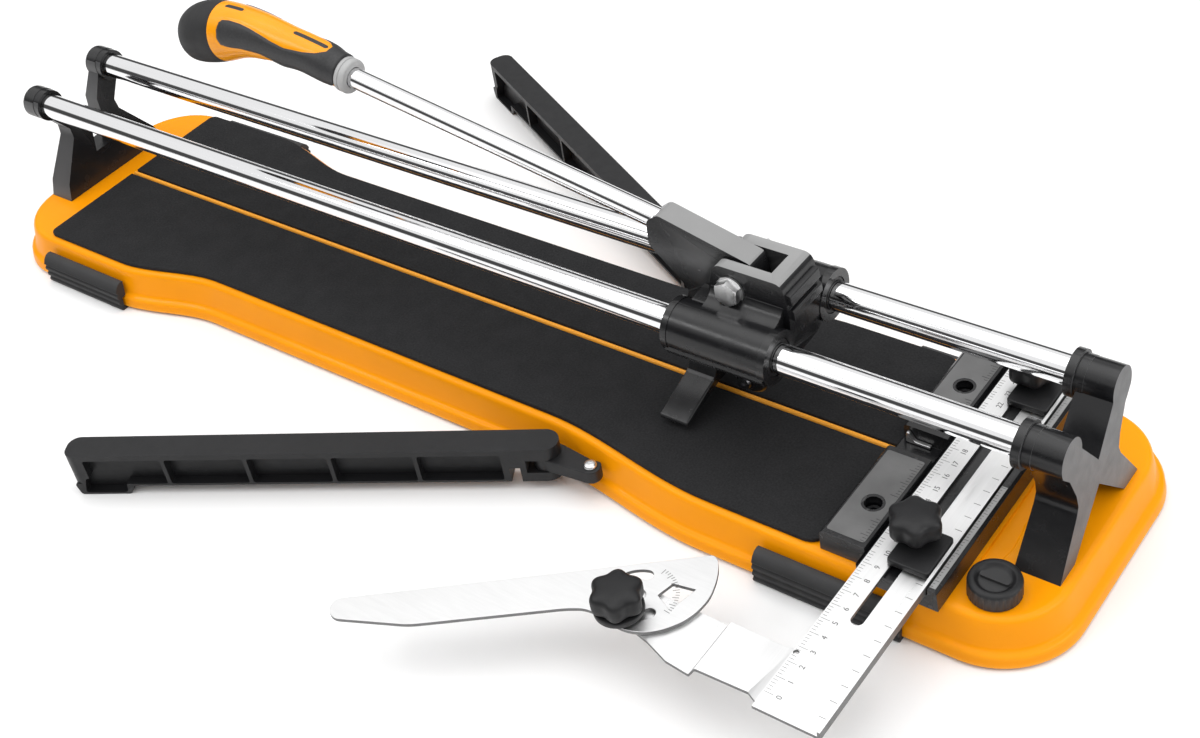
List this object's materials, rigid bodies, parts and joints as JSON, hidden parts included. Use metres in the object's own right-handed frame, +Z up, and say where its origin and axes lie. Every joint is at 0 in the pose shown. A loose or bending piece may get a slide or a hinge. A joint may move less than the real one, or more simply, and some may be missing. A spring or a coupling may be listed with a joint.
{
  "type": "manual tile cutter",
  "caption": "Manual rail tile cutter: pressed tray with pads, sliding carriage with breaker lever and scoring wheel, ruler fence, mitre stop and swing-out side supports.",
  "frame": {"origin": "middle of the breaking ridge's top face, in the plane a tile lies on", "axes": "+X along the rails towards the fence, +Y across towards the rear, +Z up; the ruler sticks out towards -Y"},
  "size_m": [0.7756, 0.4733, 0.1954],
  "materials": {
    "orange_paint": "gloss orange powder coat on pressed sheet",
    "eva_foam": "matt charcoal foam sheet with a fine grain",
    "black_rubber": "matt black rubber with lengthwise ridges",
    "black_casting": "satin black coat on a light-alloy casting",
    "black_plastic": "satin black moulding",
    "orange_plastic": "orange moulding",
    "soft_grip": "matt black soft overmould",
    "grey_plastic": "light grey moulding",
    "nylon": "natural nylon",
    "chrome": "bright chrome plate",
    "bright_steel": "bright brushed steel",
    "zinc_steel": "bright zinc plate",
    "carbide": "ground hard metal"
  },
  "bodies": {
    "base": {"base_tray": "orange_paint", "breaking_ridge": "orange_paint", "front_pad": "eva_foam", "rear_pad": "eva_foam", "foot_front_left": "black_rubber", "foot_front_right": "black_rubber", "foot_rear_left": "black_rubber", "foot_rear_right": "black_rubber", "left_rail_bracket": "black_casting", "right_rail_bracket": "black_casting", "fence_base": "black_casting", "bracket_screw_left_front": "zinc_steel", "bracket_screw_left_rear": "zinc_steel", "bracket_screw_right_front": "zinc_steel", "bracket_screw_right_rear": "zinc_steel", "front_rail": "chrome", "rear_rail": "chrome", "fence_screw_front": "zinc_steel", "fence_screw_rear": "zinc_steel", "cut_line_pointer": "bright_steel", "clamp_stud_front": "zinc_steel", "clamp_stud_rear": "zinc_steel", "clamp_plate_front": "black_plastic", "clamp_plate_rear": "black_plastic", "hinge_lug_front": "black_plastic", "hinge_lug_rear": "black_plastic", "hinge_pin_front": "zinc_steel", "hinge_pin_rear": "zinc_steel", "hinge_screw_front": "zinc_steel", "hinge_screw_rear": "zinc_steel", "wheel_store_base": "black_plastic", "spare_wheel": "carbide"},
    "carriage": {"carriage": "black_casting", "front_rail_bush": "nylon", "rear_rail_bush": "nylon", "pivot_bolt": "zinc_steel", "pivot_nut": "zinc_steel"},
    "lever": {"lever_block": "black_casting", "breaker_foot": "black_casting", "wheel_axle_screw": "zinc_steel", "handle_rod": "chrome", "grip_collar": "grey_plastic", "grip_body": "orange_plastic", "grip_end_cap": "soft_grip"},
    "wheel": {"scoring_wheel": "carbide"},
    "front_arm": {"support_arm_front": "black_plastic"},
    "rear_arm": {"support_arm_rear": "black_plastic"},
    "ruler": {"ruler": "bright_steel", "mitre_pivot_rivet": "zinc_steel", "mitre_clamp_bolt": "zinc_steel"},
    "mitre_arm": {"mitre_arm": "bright_steel"},
    "mitre_knob": {"mitre_clamp_knob": "black_plastic"},
    "front_knob": {"clamp_knob_front": "black_plastic"},
    "rear_knob": {"clamp_knob_rear": "black_plastic"},
    "store_cap": {"wheel_store_cap": "black_plastic"}
  },
  "joints": [
    {"name": "carriage_slide", "type": "slide", "parent": "base", "child": "carriage", "axis": [1, 0, 0], "range_m": [-0.49, 0.1]},
    {"name": "handle_pivot", "type": "hinge", "parent": "carriage", "child": "lever", "pos_m": [0.2165, 0, 0.087], "axis": [0, 1, 0], "range_deg": [0, 35]},
    {"name": "wheel_spin", "type": "hinge", "parent": "lever", "child": "wheel", "pos_m": [0.212, 0, 0.0146], "axis": [0, 1, 0], "continuous": true},
    {"name": "front_arm_swing", "type": "hinge", "parent": "base", "child": "front_arm", "pos_m": [0.129, -0.0828, -0.0128], "axis": [0, 0, 1], "range_deg": [-27, 50]},
    {"name": "rear_arm_swing", "type": "hinge", "parent": "base", "child": "rear_arm", "pos_m": [0.129, 0.0828, -0.0128], "axis": [0, 0, 1], "range_deg": [-50, 25]},
    {"name": "ruler_slide", "type": "slide", "parent": "base", "child": "ruler", "axis": [0, 1, 0], "range_m": [-0.006, 0.048]},
    {"name": "front_knob_turn", "type": "hinge", "parent": "base", "child": "front_knob", "pos_m": [0.3445, -0.061, 0.0129], "axis": [0, 0, 1], "continuous": true},
    {"name": "rear_knob_turn", "type": "hinge", "parent": "base", "child": "rear_knob", "pos_m": [0.3445, 0.067, 0.0129], "axis": [0, 0, 1], "continuous": true},
    {"name": "mitre_arm_swing", "type": "hinge", "parent": "ruler", "child": "mitre_arm", "pos_m": [0.243, -0.153, 0.0041], "axis": [0, 0, 1], "range_deg": [-50, 38]},
    {"name": "mitre_knob_turn", "type": "hinge", "parent": "ruler", "child": "mitre_knob", "pos_m": [0.24085, -0.16612, 0.0056], "axis": [0, 0, 1], "continuous": true},
    {"name": "store_cap_turn", "type": "hinge", "parent": "base", "child": "store_cap", "pos_m": [0.3872, -0.0626, -0.0027], "axis": [0, 0, 1], "range_deg": [0, 60]}
  ]
}
